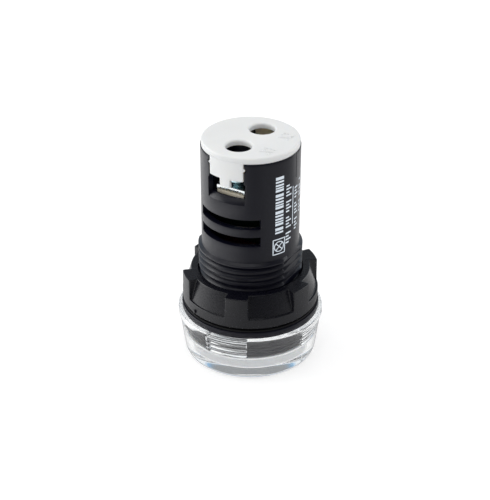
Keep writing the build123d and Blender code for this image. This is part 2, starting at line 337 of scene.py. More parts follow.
def shell(columns, rows, filled, place, loop=False):
    # Wall between two surfaces on a grid of columns and rows, with the empty cells left open
    bm = bmesh.new()
    verts = {}

    def vert(i, j, inner):
        i = i % len(columns) if loop else i
        if (i, j, inner) not in verts:
            verts[i, j, inner] = bm.verts.new(place(columns[i], rows[j], inner))
        return verts[i, j, inner]

    wide = len(columns) if loop else len(columns) - 1
    cells = {(i, j) for i in range(wide) for j in range(len(rows) - 1) if filled(i, j)}
    for i, j in cells:
        corners = ((i, j), (i + 1, j), (i + 1, j + 1), (i, j + 1))
        bm.faces.new([vert(*c, False) for c in corners])
        bm.faces.new([vert(*c, True) for c in reversed(corners)])
        beside = ((i, j - 1), (i + 1, j), (i, j + 1), (i - 1, j))
        for k, (m, n) in enumerate(beside):
            if ((m % wide if loop else m), n) not in cells:
                a, b = corners[k], corners[(k + 1) % 4]
                bm.faces.new((vert(*b, False), vert(*a, False), vert(*a, True), vert(*b, True)))
    return bm


def joined(*parts):
    whole = bmesh.new()
    for part in parts:
        mesh = bpy.data.meshes.new("part")
        part.to_mesh(mesh)
        part.free()
        whole.from_mesh(mesh)
        bpy.data.meshes.remove(mesh)
    return whole


def ease_edges(bm, width, keep=lambda edge: True):
    # Rounds the sharp edges
    bmesh.ops.recalc_face_normals(bm, faces=bm.faces)
    sharp = []
    for edge in bm.edges:
        if len(edge.link_faces) == 2 and edge.calc_face_angle() > radians(sharp_angle) and keep(edge):
            sharp.append(edge)
    bmesh.ops.bevel(
        bm, geom=sharp, offset=width, segments=2, profile=0.5, affect="EDGES", clamp_overlap=True
    )
    return bm


def moved(bm, matrix):
    bmesh.ops.transform(bm, matrix=matrix, verts=bm.verts)
    return bm


def half_turn(bm):
    # The same shape on the other side of the axis
    return moved(bm, Matrix.Rotation(pi, 4, "Z"))


def box(x, y, z):
    outline = polygon([(x[0], y[0]), (x[1], y[0]), (x[1], y[1]), (x[0], y[1])])
    return slab([(outline, fine_edge, fine_edge)], z[0], z[1], steps=2)


def helix(root, crest, pitch, widths, low, high, start, steps):
    # Threaded sleeve: one ridge that climbs by the pitch each turn. Two spare turns at each end are cut off
    foot, top = widths
    edge = (crest - root) / 12
    section = [(root, -foot / 2), (crest - edge, -top / 2 - edge), (crest, -top / 2 + edge)]
    section += [(crest, top / 2 - edge), (crest - edge, top / 2 + edge), (root, foot / 2)]
    turns = int((high - low) / pitch) + 4
    bm = bmesh.new()
    rows = []
    for step in range(turns * steps + 1):
        angle = 360 * step / steps
        level = start - 2 * pitch + pitch * step / steps
        rows.append([bm.verts.new(around(r, angle + 90, level + z)) for r, z in section])
    for step in range(turns * steps):
        first, second = rows[step], rows[step + 1]
        for j in range(len(section) - 1):
            bm.faces.new((first[j], second[j], second[j + 1], first[j + 1]))
        if step + steps + 1 < len(rows):
            above, beside = rows[step + steps], rows[step + steps + 1]
            bm.faces.new((first[-1], second[-1], beside[0], above[0]))
    for level, way in ((low, -1), (high, 1)):
        everything = bm.verts[:] + bm.edges[:] + bm.faces[:]
        bmesh.ops.bisect_plane(
            bm, geom=everything, plane_co=(0, 0, level), plane_no=(0, 0, way), clear_outer=True
        )
    return bm


def cut_flat(bm, reach, side):
    # Cuts a threaded sleeve back to a flat at x = reach and closes the cut
    everything = bm.verts[:] + bm.edges[:] + bm.faces[:]
    found = bmesh.ops.bisect_plane(
        bm, geom=everything, plane_co=(side * reach, 0, 0), plane_no=(side, 0, 0), clear_outer=True
    )
    edges = [e for e in found["geom_cut"] if isinstance(e, bmesh.types.BMEdge)]
    bmesh.ops.holes_fill(bm, edges=edges, sides=0)


def close_sleeve(bm, radius, low, high, steps):
    # Gives a threaded sleeve its bore
    for level in (low, high):
        rim = [e for e in bm.edges if e.is_boundary and all(abs(v.co.z - level) < merging for v in e.verts)]
        points = [bm.verts.new(around(radius, 360 * s / steps, level)) for s in range(steps)]
        inner = [bm.edges.new((points[s - 1], points[s])) for s in range(steps)]
        bmesh.ops.bridge_loops(bm, edges=rim + inner)
    bmesh.ops.bridge_loops(bm, edges=[e for e in bm.edges if e.is_boundary])


def piece(name, bm, material, body, replaces=(), crease=sharp_angle):
    bmesh.ops.scale(bm, vec=(MM, MM, MM), verts=bm.verts)
    bmesh.ops.recalc_face_normals(bm, faces=bm.faces)
    mesh = bpy.data.meshes.new(name)
    bm.to_mesh(mesh)
    bm.free()
    mesh.shade_smooth()
    mesh.set_sharp_from_angle(angle=radians(crease))
    mesh.materials.append(material)
    obj = bpy.data.objects.new(name, mesh)
    bpy.context.scene.collection.objects.link(obj)
    weighted = obj.modifiers.new("normals", "WEIGHTED_NORMAL")
    weighted.keep_sharp = True
    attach(obj, body)
    if replaces:
        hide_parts(*replaces)
    return obj


# Materials


def linked_math(tree, operation, first, second):
    # A sum of numbers and sockets
    node = tree.nodes.new("ShaderNodeMath")
    node.operation = operation
    for socket, value in zip(node.inputs, (first, second)):
        if isinstance(value, (int, float)):
            socket.default_value = value
        else:
            tree.links.new(value, socket)
    return node.outputs[0]


def product(tree, first, second):
    return linked_math(tree, "MULTIPLY", first, second)


def one_less(tree, value):
    return linked_math(tree, "SUBTRACT", 1.0, value)


def ray_kinds(tree):
    # 1 for rays from the camera, from a gloss and through clear plastic, in that order
    path = tree.nodes.new("ShaderNodeLightPath").outputs
    clear_ray = path["Is Transmission Ray"]
    gloss_ray = product(tree, path["Is Glossy Ray"], one_less(tree, clear_ray))
    return path["Is Camera Ray"], gloss_ray, clear_ray


def mixed_level(tree, choice, first, second):
    # The first number where the choice is 0, and the second where it is 1
    kept = product(tree, one_less(tree, choice), first)
    return linked_math(tree, "ADD", kept, product(tree, choice, second))


def mixed_colour(tree, choice, first, second):
    # The same for colours, each given as a number triple or a socket
    mix = tree.nodes.new("ShaderNodeMix")
    mix.data_type = "RGBA"
    tree.links.new(choice, mix.inputs["Factor"])
    for name, colour in (("A", first), ("B", second)):
        if isinstance(colour, tuple):
            mix.inputs[name].default_value = (*colour, 1)
        else:
            tree.links.new(colour, mix.inputs[name])
    return mix.outputs["Result"]


def ranged(tree, value, start, end, low, high, kind="LINEAR"):
    # A number that goes from low to high as the value goes from start to end
    ramp = tree.nodes.new("ShaderNodeMapRange")
    ramp.interpolation_type = kind
    for name, number in (("From Min", start), ("From Max", end), ("To Min", low), ("To Max", high)):
        ramp.inputs[name].default_value = number
    tree.links.new(value, ramp.inputs["Value"])
    return ramp.outputs["Result"]


def faded(tree, value, start, end, low, high):
    # The same with soft ends
    return ranged(tree, value, start, end, low, high, "SMOOTHSTEP")


def along(tree, vector, direction):
    dot = tree.nodes.new("ShaderNodeVectorMath")
    dot.operation = "DOT_PRODUCT"
    dot.inputs[1].default_value = direction
    tree.links.new(vector, dot.inputs[0])
    return dot.outputs["Value"]


def object_place(tree):
    return tree.nodes.new("ShaderNodeTexCoord").outputs["Object"]


def height_fade(tree, start, width, high):
    # Goes from 0 to high as the level on the object passes the start
    level = along(tree, object_place(tree), (0, 0, 1))
    return faded(tree, level, start * MM, (start + width) * MM, 0.0, high)


def nodes_of(name):
    material = bpy.data.materials.new(name)
    material.use_nodes = True
    tree = material.node_tree
    return material, tree, tree.nodes["Principled BSDF"]


def noise(tree, scale, detail=2.0, stretch=(1, 1, 1)):
    mapping = tree.nodes.new("ShaderNodeMapping")
    mapping.inputs["Scale"].default_value = stretch
    texture = tree.nodes.new("ShaderNodeTexNoise")
    texture.inputs["Scale"].default_value = scale
    texture.inputs["Detail"].default_value = detail
    tree.links.new(object_place(tree), mapping.inputs["Vector"])
    tree.links.new(mapping.outputs["Vector"], texture.inputs["Vector"])
    return texture.outputs["Fac"]


def between(tree, value, low, high):
    # Noise stays within its usual range, 0.3 to 0.7, and goes from low to high there
    return ranged(tree, value, 0.3, 0.7, low, high)


def mottled(tree, value, first, second):
    return mixed_colour(tree, between(tree, value, 0, 1), first, second)


def relief(tree, shader, value, height):
    bump = tree.nodes.new("ShaderNodeBump")
    bump.inputs["Distance"].default_value = height * MM
    tree.links.new(value, bump.inputs["Height"])
    tree.links.new(bump.outputs["Normal"], shader.inputs["Normal"])


def plastic(name, first, second, rough, grain, height, gloss=0.5, cloud=180, soft=0.0, painted_recess_shade=None):
    # Moulded plastic: clouded colour, a fine grain in the surface and uneven gloss, and, when asked, a warm
    # shade painted into enclosed faces. Noises are per metre
    material, tree, shader = nodes_of(name)
    colour = mottled(tree, noise(tree, cloud, 3), first, second)
    if painted_recess_shade:
        # Painted shade: enclosed faces below a level get a warm colour painted into the base colour,
        # standing in for shade in the recesses and for light that has come through the thin wall
        tint, reach, open_from = painted_recess_shade
        hidden = tree.nodes.new("ShaderNodeAmbientOcclusion")
        hidden.inputs["Distance"].default_value = reach * MM
        bright = faded(tree, hidden.outputs["AO"], 0.1, 0.4, 0.0, 1.0)
        above = height_fade(tree, open_from, 0.1, 1.0)
        colour = mixed_colour(tree, linked_math(tree, "MAXIMUM", bright, above), tint, colour)
    tree.links.new(colour, shader.inputs["Base Color"])
    fine = noise(tree, grain, 3)
    tree.links.new(between(tree, fine, *rough), shader.inputs["Roughness"])
    relief(tree, shader, fine, height)
    shader.inputs["Specular IOR Level"].default_value = gloss
    if soft:
        shader.inputs["Subsurface Weight"].default_value = soft
        shader.inputs["Subsurface Radius"].default_value = (1.0, 0.8, 0.55)
        shader.inputs["Subsurface Scale"].default_value = 1.2 * MM
    return material


def metal(name, first, second, rough, scale, stretch, height, shine=1.0):
    # Plated metal: drawn streaks, stained colour and uneven gloss
    material, tree, shader = nodes_of(name)
    colour = mottled(tree, noise(tree, scale / 4, 3), first, second)
    tree.links.new(colour, shader.inputs["Base Color"])
    streaks = noise(tree, scale, 4, stretch)
    tree.links.new(between(tree, streaks, *rough), shader.inputs["Roughness"])
    relief(tree, shader, streaks, height)
    shader.inputs["Metallic"].default_value = shine
    return material


def clear(name, first, second, rough, index, matt_from, matt):
    # Polished clear plastic with a faint tint and flow marks, which is matt above a level
    material, tree, shader = nodes_of(name)
    tree.links.new(mottled(tree, noise(tree, 90), first, second), shader.inputs["Base Color"])
    polish = between(tree, noise(tree, 260), *rough)
    frost = height_fade(tree, matt_from, 0.05, matt)
    tree.links.new(linked_math(tree, "ADD", polish, frost), shader.inputs["Roughness"])
    shader.inputs["Transmission Weight"].default_value = 1.0
    shader.inputs["IOR"].default_value = index
    return material


black = plastic(
    "black_nylon",
    (0.0018, 0.0021, 0.0085),
    (0.0028, 0.0031, 0.0105),
    rough=(0.31, 0.39),
    grain=2600,
    height=0.011,
)
nut_black = plastic(
    "nut_nylon",
    (0.0020, 0.0021, 0.0055),
    (0.0032, 0.0033, 0.0072),
    rough=(0.25, 0.33),
    grain=2400,
    height=0.015,
    gloss=0.66,
)
rubber = plastic(
    "gasket_rubber",
    (0.004, 0.004, 0.005),
    (0.007, 0.007, 0.008),
    rough=(0.6, 0.75),
    grain=2000,
    height=0.02,
    gloss=0.3,
)
# The white moulding has a warm shade painted into its enclosed faces below the top of the barrel
white = plastic(
    "white_polycarbonate",
    (0.80, 0.807, 0.80),
    (0.83, 0.837, 0.83),
    rough=(0.34, 0.42),
    grain=1800,
    height=0.004,
    gloss=0.45,
    soft=0.1,
    painted_recess_shade=((1.0, 0.84, 0.6), 12, barrel_top),
)
print_ink = plastic(
    "pale_ink",
    (0.86, 0.93, 1.0),
    (0.78, 0.87, 0.96),
    rough=(0.5, 0.6),
    grain=3000,
    height=0.01,
    gloss=0.3,
    cloud=900,
)
milky = plastic(
    "milky_polycarbonate",
    (0.95, 0.953, 0.957),
    (0.97, 0.973, 0.977),
    rough=(0.3, 0.38),
    grain=1500,
    height=0.004,
    gloss=0.45,
    soft=0.15,
)

# Inner pieces: two colours, roughness, grain per metre, its height and the gloss
inner_plastics = {
    "white_mask": ((0.76, 0.77, 0.74), (0.82, 0.83, 0.80), (0.3, 0.4), 1500, 0.006, 0.5),
    # The driver board's green is painted darker than its solder mask is, for the shade it lies in inside the
    # housing
    "shade_darkened_green_mask": ((0.002, 0.008, 0.004), (0.003, 0.012, 0.006), (0.4, 0.5), 1200, 0.01, 0.2),
    "capacitor_case": ((0.035, 0.004, 0.003), (0.05, 0.006, 0.004), (0.4, 0.5), 1500, 0.006, 0.2),
    "moulded_epoxy": ((0.018, 0.018, 0.018), (0.03, 0.03, 0.03), (0.5, 0.6), 2500, 0.012, 0.5),
    "resistor_lacquer": ((0.16, 0.30, 0.42), (0.22, 0.38, 0.5), (0.25, 0.35), 1200, 0.01, 0.5),
    "led_package": ((0.82, 0.78, 0.52), (0.88, 0.85, 0.66), (0.2, 0.3), 1200, 0.004, 0.5),
}
# Metals: two colours, roughness, streaks per metre, their stretch and height, and how metallic they are
metals = {
    "zinc_plate": ((0.78, 0.84, 0.86), (0.90, 0.92, 0.93), (0.2, 0.32), 1400, (1, 6, 6), 0.0005, 1.0),
    "zinc_screw": ((0.46, 0.72, 0.78), (0.70, 0.84, 0.88), (0.18, 0.3), 1600, (4, 4, 1), 0.0006, 1.0),
    "brass_strip": ((0.98, 0.88, 0.68), (0.99, 0.93, 0.80), (0.24, 0.36), 1300, (1, 6, 6), 0.0004, 0.15),
    "tinned_wire": ((0.68, 0.68, 0.66), (0.78, 0.78, 0.77), (0.22, 0.35), 1500, (3, 3, 1), 0.004, 1.0),
    "can_aluminium": ((0.55, 0.56, 0.58), (0.66, 0.67, 0.69), (0.28, 0.4), 1200, (1, 1, 8), 0.005, 1.0),
}
looks = {name: plastic(name, *values) for name, values in inner_plastics.items()}
looks.update({name: metal(name, *values) for name, values in metals.items()})
crystal = clear(
    "clear_polycarbonate",
    (0.985, 0.992, 0.997),
    (0.995, 1.0, 1.0),
    rough=(0.01, 0.03),
    index=1.52,
    matt_from=lens_depth - lens_rim_round,
    matt=0.2,
)


# Lens: a polished cap with four sets of thread ribs inside


def lens_outline(angle, share):
    # Section of the lens; share runs from 0 where the bore is plain to 1 where it has ribs
    corners = [
        (lens_face_radius - 2 * lens_edge_radius, 0, 0),
        (lens_face_radius, 0, lens_edge_radius),
        (lens_waist_radius, lens_waist_level, 2.0),
        (lens_rim_radius, lens_rim_low, 0.5),
        (lens_rim_radius, lens_depth, lens_rim_round),
        (lens_bore, lens_depth, 0.12),
    ]
    rise = rib_pitch * angle / 360
    tip = lens_bore + (rib_tip - lens_bore) * share
    ease = 0.001 + 0.06 * share
    for rib in reversed(range(rib_count)):
        level = collar_end + rib_pitch * (rib + rib_start) + rise
        corners.append((lens_bore, level + rib_foot, ease))
        corners.append((tip, level + rib_top, ease))
        corners.append((tip, level - rib_top, ease))
        corners.append((lens_bore, level - rib_foot, ease))
    corners += [
        (lens_bore, collar_end, 0.05),
        (lens_floor_radius, collar_end - 0.1, 0.05),
        (lens_floor_radius, lens_face_thickness, 0.25),
        (lens_floor_radius - 0.6, lens_face_thickness, 0),
    ]
    return soften(corners, 3)


def lens_mesh():
    # The ribs rise from the bore over a short arc at each of their ends
    rings = []
    step = 360 / rib_sets
    gap = step - rib_arc
    fade = (0.0, 0.12, 0.5, 0.88, 1.0)
    fade_arc = 0.7
    for index in range(rib_sets):
        middle = rib_turn + index * step
        places = [(-rib_arc / 2 + fade_arc * k / 4, share) for k, share in enumerate(fade)]
        for k in range(1, rib_steps):
            places.append((-rib_arc / 2 + fade_arc + (rib_arc - 2 * fade_arc) * k / rib_steps, 1.0))
        places += [(-a, share) for a, share in reversed(places[:5])]
        places += [(rib_arc / 2 + gap * k / rib_gap_steps, 0.0) for k in range(1, rib_gap_steps)]
        for angle, share in places:
            lift = angle if angle <= rib_arc / 2 else rib_arc / 2 - rib_arc * (angle - rib_arc / 2) / gap
            outline = lens_outline(lift, share)
            rings.append([around(p.x, middle + angle, p.y) for p in outline])
    return ring_mesh(rings, capped=True)


piece("lens_cap", lens_mesh(), crystal, "lens", ["lens"], crease=40)

dish = turned([
    (0, diffuser_low, 0),
    (diffuser_radius, diffuser_low, 0.2),
    (diffuser_radius, diffuser_high, 0.15),
    (diffuser_radius - dish_rim, diffuser_high, 0.15),
    (diffuser_radius - dish_rim, diffuser_low + dish_floor, 0.3),
    (0, diffuser_low + dish_floor, 0),
])
piece("diffuser_dish", dish, milky, "diffuser", ["lens_diffuser"])


# Housing


def collar_and_flange():
    corners = [(barrel_bore, led_seat, 0.1), (collar_bore, led_seat, 0.1), (collar_bore, collar_end, 0.12)]
    corners.append((collar_radius, collar_end, 0.15))
    half = rib_pitch / 4
    for index in range(collar_ridges):
        level = collar_end + rib_pitch * (index + 1)
        corners.append((collar_radius, level - half, 0.05))
        corners.append((collar_radius + collar_ridge, level, 0.08))
        corners.append((collar_radius, level + half, 0.05))
    corners += [
        (collar_radius, flange_front, 0.1),
        (flange_radius, flange_front, 0.15),
        (flange_radius, flange_back, 0.15),
        (shoulder_radius, flange_back, 0.15),
        (shoulder_radius, shoulder_top, 0.12),
        (barrel_bore, shoulder_top, 0.05),
    ]
    return turned(corners)


def panel_thread():
    low, high = shoulder_top - overlap, lead_ring_low + overlap
    start = shoulder_top - thread_pitch / 2
    bm = helix(barrel_radius, thread_crest, thread_pitch, thread_widths, low, high, start, turn_steps)
    for side in (-1, 1):
        cut_flat(bm, thread_flat, side)
    close_sleeve(bm, barrel_bore, low, high, turn_steps)
    return bm


def angle_of(x, radius=barrel_radius):
    return degrees(asin(x / radius))


def divided(marks, step):
    # Even steps from mark to mark, without the last mark
    places = []
    for first, second in zip(marks, marks[1:]):
        count = max(1, round((second - first) / step))
        places += [first + (second - first) * k / count for k in range(count)]
    return places


def barrel_columns():
    marks = [0, angle_of(window_half), angle_of(frame_half), vent_half_angle]
    marks += [angle_of(thread_flat, shoulder_radius), -groove_angle - groove_half, -groove_angle]
    marks += [-groove_angle + groove_half, 90]
    half = divided(sorted({round(m, 4) for m in marks} | {round(-m, 4) for m in marks}), wall_column)
    return half + [a + 180 for a in half]


def barrel_rows():
    marks = [lead_ring_low, lead_ring_edge, thread_top, sill - bevel, sill, window_top]
    marks.append(window_top + lintel_row)
    marks += [groove_low, notch_level - notch_half, notch_level, notch_level + notch_half, barrel_top]
    marks += [level for vent in vents for level in vent]
    return divided(sorted(marks), wall_row) + [barrel_top]


def barrel_place(column, z, inner):
    # Jambs of the windows are flat, so near them a column keeps its x and not its angle
    local = (column + 90) % 180 - 90
    size, side = abs(local), (1 if local >= 0 else -1)
    jamb, frame_edge = angle_of(window_half), angle_of(frame_half)
    at_jamb = size < jamb + tolerance
    radius = barrel_radius
    if z < thread_top - tolerance:
        radius = min(shoulder_radius, thread_flat / max(tolerance, sin(radians(size))))
    elif at_jamb and sill - tolerance < z < window_top + tolerance:
        radius = barrel_radius - bevel
    elif local < 0 and abs(local - groove_angle) < tolerance and z > groove_low + tolerance:
        radius = barrel_radius - groove_depth
    if inner:
        radius = barrel_bore
    x = barrel_radius * sin(radians(size))
    if abs(size - jamb) < tolerance and abs(z - notch_level) < tolerance:
        x += notch_reach
    if size < frame_edge + tolerance:
        angle = angle_of(x, radius)
    elif size < vent_half_angle:
        far = angle_of(frame_half, radius)
        angle = far + (vent_half_angle - far) * (size - frame_edge) / (vent_half_angle - frame_edge)
    else:
        angle = size
    return around(radius, column - local + side * angle, z)


def barrel_wall():
    columns, rows = barrel_columns(), barrel_rows()
    jamb = angle_of(window_half)

    def filled(i, j):
        after = columns[i + 1] if i + 1 < len(columns) else columns[0] + 360
        size = abs(((columns[i] + after) / 2 + 90) % 180 - 90)
        z = (rows[j] + rows[j + 1]) / 2
        if size < jamb and z > sill:
            return False
        return not (size < vent_half_angle and any(low < z < high for low, high in vents))

    def off_groove(edge):
        # The edges of the shallow groove, which is near y = 0, are left sharp
        middle = (edge.verts[0].co + edge.verts[1].co) / 2
        deep = hypot(middle.x, middle.y) < barrel_radius - groove_depth - 0.1
        return deep or abs(middle.y) > groove_side

    bm = shell(columns, rows, filled, barrel_place, loop=True)
    return ease_edges(bm, wall_edge, keep=off_groove)


def terminal_block():
    # Floor, partition and the walls of the two terminal pockets
    loops = [(circle(barrel_bore + floor_grip, steps=bore_steps), fine_edge, fine_edge)]
    half = strip_slot_half
    for side in (-1, 1):
        loops.append((circle(screw_hole_radius, (0, side * screw_offset), hole=True), 0.1, 0.1))
        near, far = sorted((side * partition, side * strip_slot_far))
        outline = polygon([(-half, near), (half, near), (half, far), (-half, far)], hole=True)
        loops.append((outline, fine_edge, fine_edge))
    levels = (floor_top - overlap, barrel_top - 0.02)
    reach = sqrt(web_end_radius**2 - web_outer**2)
    parts = [slab(loops, floor_low, floor_top)]
    parts.append(box((-partition_half, partition_half), (-partition, partition), levels))
    for side in (-1, 1):
        for way in (-1, 1):
            x = sorted((side * web_inner, side * web_outer))
            y = sorted((way * (partition - overlap), way * reach))
            parts.append(box(x, y, levels))
    return joined(*parts)


housing = joined(collar_and_flange(), panel_thread(), barrel_wall(), terminal_block())
piece("housing_moulding", housing, black, "body", ["housing"])

seal = turned([
    (nut_bore, flange_back, 0.1),
    (gasket_radius, flange_back, 0.1),
    (gasket_radius, gasket_back, 0.15),
    (nut_bore, gasket_back, 0.1),
])
piece("gasket_ring", seal, rubber, "body", ["gasket"])


# Terminal cover


def tongue():
    # Snap-in tongue: a curved wall with a narrower tip below and a barb on each side
    columns = divided((-tongue_half, -tip_half, tip_half, tongue_half), tongue_column) + [tongue_half]
    rows = [tongue_end] + [tongue_low + tongue_row * k for k in range(3)] + [barrel_top + tongue_root]

    def place(x, z, inner):
        radius = tongue_inner if inner else tongue_outer
        return around(radius, angle_of(x, radius), z)

    def filled(i, j):
        return j > 0 or abs(columns[i] + columns[i + 1]) / 2 < tip_half

    parts = [ease_edges(shell(columns, rows, filled, place), tongue_edge)]
    for side in (-1, 1):
        edge, tip = side * (tongue_half - overlap), side * (tongue_half + notch_reach)
        points = [(edge, notch_level - barb_half), (tip, notch_level), (edge, notch_level + barb_half)]
        outline = polygon(points if side > 0 else points[::-1])
        barb = slab([(outline, 0.06, 0.06)], barb_inner, barb_outer)
        parts.append(moved(barb, Matrix.Rotation(pi / 2, 4, "X")))
    return joined(*parts)


def bar(start, end, width, low, high):
    # Raised bar with round ends
    a, b = Vector(start), Vector(end)
    turn = (b - a).to_2d().angle_signed(Vector((1, 0)))
    points = []
    for centre, first in ((b, -90), (a, 90)):
        for k in range(9):
            t = radians(first + 180 * k / 8) + turn
            points.append(centre + Vector((cos(t), sin(t))) * width / 2)
    outline = [(p, (p - (b if k < 9 else a)).normalized()) for k, p in enumerate(points)]
    return slab([(outline, 0, (high - low) / 4)], low, high, steps=2)


def terminal_mark(digit):
    # X and a digit, drawn with bars, in a box centred on the origin
    strokes = [((-1.1, -1), (-0.1, 1)), ((-1.1, 1), (-0.1, -1))]
    if digit == 1:
        strokes += [((0.7, -1), (0.7, 1)), ((0.7, 1), (0.35, 0.6))]
    else:
        corners = ((0.3, 1), (1.1, 1), (1.1, 0.1), (0.3, -1), (1.1, -1))
        strokes += zip(corners, corners[1:])
    parts = []
    for start, end in strokes:
        points = [(x * mark_half, y * mark_half) for x, y in (start, end)]
        parts.append(bar(*points, mark_stroke, cover_top - 0.05, cover_top + mark_lift))
    return joined(*parts)


def cover_mesh():
    loops = [(circle(cover_plate_radius, steps=turn_steps), fine_edge, cover_round)]
    for side in (-1, 1):
        loops.append((circle(hole_radius, (0, side * screw_offset), hole=True), 0.1, hole_round))
    parts = [slab(loops, barrel_top, cover_top, steps=6), tongue(), half_turn(tongue())]
    for digit, side in ((1, -1), (2, 1)):
        place = Matrix.Translation((mark_place[0], side * mark_place[1], 0))
        parts.append(moved(terminal_mark(digit), place @ Matrix.Rotation(pi / 2, 4, "Z")))
    return joined(*parts)


piece("cover_moulding", cover_mesh(), white, "body", ["terminal_cover"])


# Panel nut


def nut_outline(share):
    # Section of the nut; share runs from 0 in a pocket to 1 in a lug
    def mix(pocket, lug):
        return pocket + (lug - pocket) * share

    rim = nut_radius
    corners = [
        (nut_bore, nut_front, nut_edge),
        (rim, nut_front, nut_edge),
        (rim, nut_shelf + lug_rises[0] * share, nut_edge),
        (mix(rim - nut_ledge, rim), nut_shelf + lug_rises[1] * share, 0.12),
        (mix(nut_neck, rim), nut_back, nut_edge),
        (nut_bore, nut_back, nut_edge),
    ]
    return soften(corners)


def nut_mesh():
    # An edge of a lug, in degrees from its foot, with the lug's share there
    edge = ((0.0, 0.0), (0.3, 0.04), (0.55, 0.2), (0.75, 0.8), (1.0, 0.955), (1.35, 1.0))
    step = 360 / lug_count
    foot = lug_arc / 2 + lug_foot
    top = foot - edge[-1][0]
    gap = step - 2 * foot
    rings = []
    for index in range(lug_count):
        middle = lug_turn + index * step
        places = [(a - foot, share) for a, share in edge]
        places += [(2 * top * k / nut_flat_steps - top, 1.0) for k in range(1, nut_flat_steps)]
        places += [(foot - a, share) for a, share in reversed(edge)]
        places += [(foot + gap * k / nut_pocket_steps, 0.0) for k in range(1, nut_pocket_steps)]
        for angle, share in places:
            rings.append([around(p.x, middle + angle, p.y) for p in nut_outline(share)])
    return ring_mesh(rings)


def gate_stub():
    # Where the runner of the mould was broken off
    stub = slab([(circle(gate_radius, steps=20), fine_edge, 0.12)], -0.5, gate_height, steps=2)
    moved(stub, Matrix.Rotation(pi / 2, 4, "X"))
    moved(stub, Matrix.Translation((0, -nut_radius, nut_front + gate_radius + 0.2)))
    return moved(stub, Matrix.Rotation(radians(gate_turn), 4, "Z"))


nut = joined(nut_mesh(), gate_stub())
piece("nut_moulding", nut, nut_black, "nut", ["panel_nut"], crease=40)


# Terminals


def screw_mesh():
    long, thin = slot_half_length, slot_half_width
    cross = []
    for turn in range(4):
        for x, y in ((long, -thin), (long, thin), (thin, thin)):
            cross.append(Matrix.Rotation(-pi / 2 * turn, 2).inverted() @ Vector((x, y)))
    head = (screw_high[0] - screw_low[0]) / 2
    top, tip = screw_high[2], screw_low[2]
    slot_low = top - slot_depth
    lower = slab([(circle(head), 0.15, 0)], screw_head_low, slot_low)
    upper = slab([(circle(head), 0, 0.5), (polygon(cross, hole=True), 0, fine_edge)], slot_low - 0.05, top)
    low, high = tip + screw_tip, screw_head_low + overlap
    shank = helix(screw_root, screw_radius, screw_pitch, screw_thread_widths, low, high, tip, screw_steps)
    bmesh.ops.holes_fill(shank, edges=[e for e in shank.edges if e.is_boundary], sides=0)
    outline = [(0, tip, 0), (screw_root - 0.2, tip, 0), (screw_root, low, 0), (0, low + overlap, 0)]
    whole = joined(lower, upper, shank, turned(outline, screw_steps))
    return moved(whole, Matrix.Translation((*screw_place, 0)))


def clamp_mesh():
    # Plate with gripping grooves across its underside
    half = (clamp_high[0] - clamp_low[0]) / 2
    low, high = clamp_low[2], clamp_high[2]
    deep = clamp_groove_depth
    points = [(-half, high), (-half, low)]
    step = 2 * half / (clamp_grooves + 1)
    for index in range(clamp_grooves):
        x = -half + step * (index + 1)
        points += [(x - deep, low), (x, low + deep), (x + deep, low)]
    points += [(half, low), (half, high)]
    bm = slab([(polygon(points), 0.12, 0.12)], -clamp_high[1], -clamp_low[1], steps=3)
    return moved(bm, Matrix.Rotation(pi / 2, 4, "X"))


for label in ("x1", "x2"):
    screw, clamp = screw_mesh(), clamp_mesh()
    if label == "x2":
        screw, clamp = half_turn(screw), half_turn(clamp)
    for kind, bm, look, node in (
        ("screw", screw, "zinc_screw", "terminal_screw"),
        ("clamp", clamp, "zinc_plate", "clamp_plate"),
    ):
        name = f"{kind}_{label}"
        piece(name, bm, looks[look], name, [f"{node}_{label}"])


# Generic marks printed up the barrel


def ribbon(path, width, closed=False):
    # Thin strip of ink along a path of (angle in degrees, level) points on the barrel
    scale = radians(1) * barrel_radius
    points = [Vector((a * scale, z)) for a, z in path]
    outer, inner = barrel_radius + ink_above, barrel_radius - ink_below
    rings = []
    for index, here in enumerate(points):
        back = points[index - 1] if closed or index else here
        ahead = points[(index + 1) % len(points)] if closed or index + 1 < len(points) else here
        way = (ahead - back).normalized()
        side = Vector((way.y, -way.x)) * width / 2
        ring = []
        for offset, radius in ((side, outer), (-side, outer), (-side, inner), (side, inner)):
            p = here + offset
            ring.append(around(radius, p.x / scale, p.y))
        rings.append(ring)
    bm = ring_mesh(rings, loop=closed)
    if not closed:
        bmesh.ops.holes_fill(bm, edges=[e for e in bm.edges if e.is_boundary], sides=0)
    return bm


def printed_marks():
    parts = []
    # Bold bars in groups
    for index in range(bar_count):
        for lift, width in bar_groups[index % 2]:
            level = bar_low + bar_pitch * index + lift
            parts.append(ribbon([(angle, level) for angle in bar_ends], width))
    # Frame with the sign for a lamp: a circle with a cross in it
    path = []
    for k, (a, z) in enumerate(sign_frame):
        b, y = sign_frame[(k + 1) % 4]
        path += [(a + (b - a) * t / 6, z + (y - z) * t / 6) for t in range(6)]
    parts.append(ribbon(path, rule_width, closed=True))
    angle, level = sign_centre
    wide = sign_radius / (radians(1) * barrel_radius)
    turns = [t * pi / 16 for t in range(32)]
    ring = [(angle + wide * cos(t), level + sign_radius * sin(t)) for t in turns]
    parts.append(ribbon(ring, sign_stroke, closed=True))
    lean = sqrt(0.5)
    for way in (-1, 1):
        ends = [(angle + s * wide * lean, level + s * way * sign_radius * lean) for s in (-1, 0, 1)]
        parts.append(ribbon(ends, sign_stroke))
    # Rows of small dashes, long and short in turn with every fifth left out, and a ruled line
    for column, low, high, reach in dash_columns:
        for index in range(round((high - low) / dash_pitch)):
            if index % 5 == 4:
                continue
            z = low + dash_pitch * index
            start, length = column - reach, 2 * reach * (1 if index % 2 else short_dash)
            parts.append(ribbon([(start, z), (column, z), (start + length, z)], dash_width))
    parts.append(ribbon([(rule_angle, rule_low + rule_step * k) for k in range(11)], rule_width))
    return joined(*parts)


piece("printed_marks", printed_marks(), print_ink, "body")


# CAD pieces that show as they are

